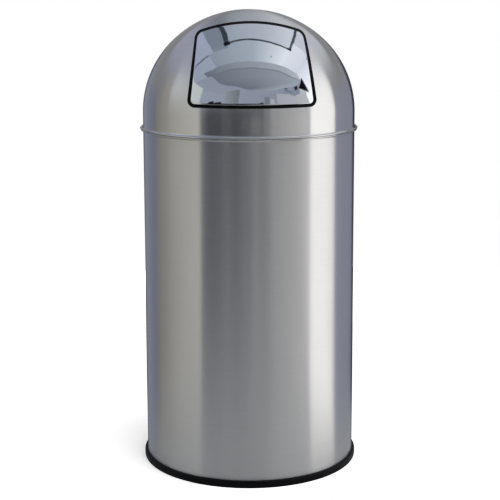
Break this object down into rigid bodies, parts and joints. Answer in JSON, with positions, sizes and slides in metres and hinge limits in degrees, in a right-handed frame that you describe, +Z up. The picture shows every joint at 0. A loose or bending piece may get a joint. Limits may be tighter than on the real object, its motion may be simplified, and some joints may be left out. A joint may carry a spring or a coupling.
{
  "type": "dome top waste receptacle",
  "caption": "Free-standing round litter bin: brushed steel body, lift-off dome with a sprung push flap, black foot ring and an inner bucket with a wire handle.",
  "frame": {"origin": "middle of the foot ring's underside, on the floor", "axes": "+Z up along the bin's axis, -Y towards the side with the push flap, +X to the right of someone facing the flap"},
  "size_m": [0.3599, 0.36, 0.7551],
  "materials": {
    "brushed_stainless": "fine brushing round the axis",
    "polished_stainless": "mirror polished",
    "galvanised_sheet": "dull zinc with a fine spangle",
    "bright_steel": "bright drawn",
    "spring_steel": "oiled spring wire and strip",
    "black_rubber": "smooth moulded, half gloss",
    "nylon": "natural moulded nylon"
  },
  "bodies": {
    "bin_body": {"body_shell": "brushed_stainless", "base_plate": "galvanised_sheet", "base_ring": "black_rubber"},
    "dome": {"dome_shell": "brushed_stainless", "dome_collar": "galvanised_sheet", "left_hinge_bracket": "galvanised_sheet", "right_hinge_bracket": "galvanised_sheet", "hinge_rod": "bright_steel", "rod_clips": "spring_steel", "left_spring": "spring_steel", "right_spring": "spring_steel"},
    "flap": {"flap_panel": "polished_stainless", "flap_gasket": "black_rubber", "left_flap_lug": "galvanised_sheet", "right_flap_lug": "galvanised_sheet", "left_bush": "nylon", "right_bush": "nylon"},
    "bucket": {"bucket_wall": "galvanised_sheet", "bucket_bottom": "galvanised_sheet", "left_bail_ear": "galvanised_sheet", "right_bail_ear": "galvanised_sheet", "bail_rivets": "bright_steel"},
    "bail": {"bail_handle": "bright_steel"}
  },
  "joints": [
    {"name": "dome_lift", "type": "slide", "parent": "bin_body", "child": "dome", "axis": [0, 0, 1], "range_m": [0, 1.15]},
    {"name": "bucket_lift", "type": "slide", "parent": "bin_body", "child": "bucket", "axis": [0, 0, 1], "range_m": [0, 0.575]},
    {"name": "flap_swing", "type": "hinge", "parent": "dome", "child": "flap", "pos_m": [0, -0.06204, 0.7161], "axis": [1, 0, 0], "range_deg": [0, 60], "stiffness_Nm_per_rad": 0.2, "springref_deg": -89.95, "deforming": ["left_spring", "right_spring"]},
    {"name": "bail_swing", "type": "hinge", "parent": "bucket", "child": "bail", "pos_m": [0, 0, 0.5456], "axis": [1, 0, 0], "range_deg": [0, 180]}
  ],
  "couplings": [
    {"joint": "bucket_lift", "follows": "dome_lift", "ratio": 0.5}
  ]
}
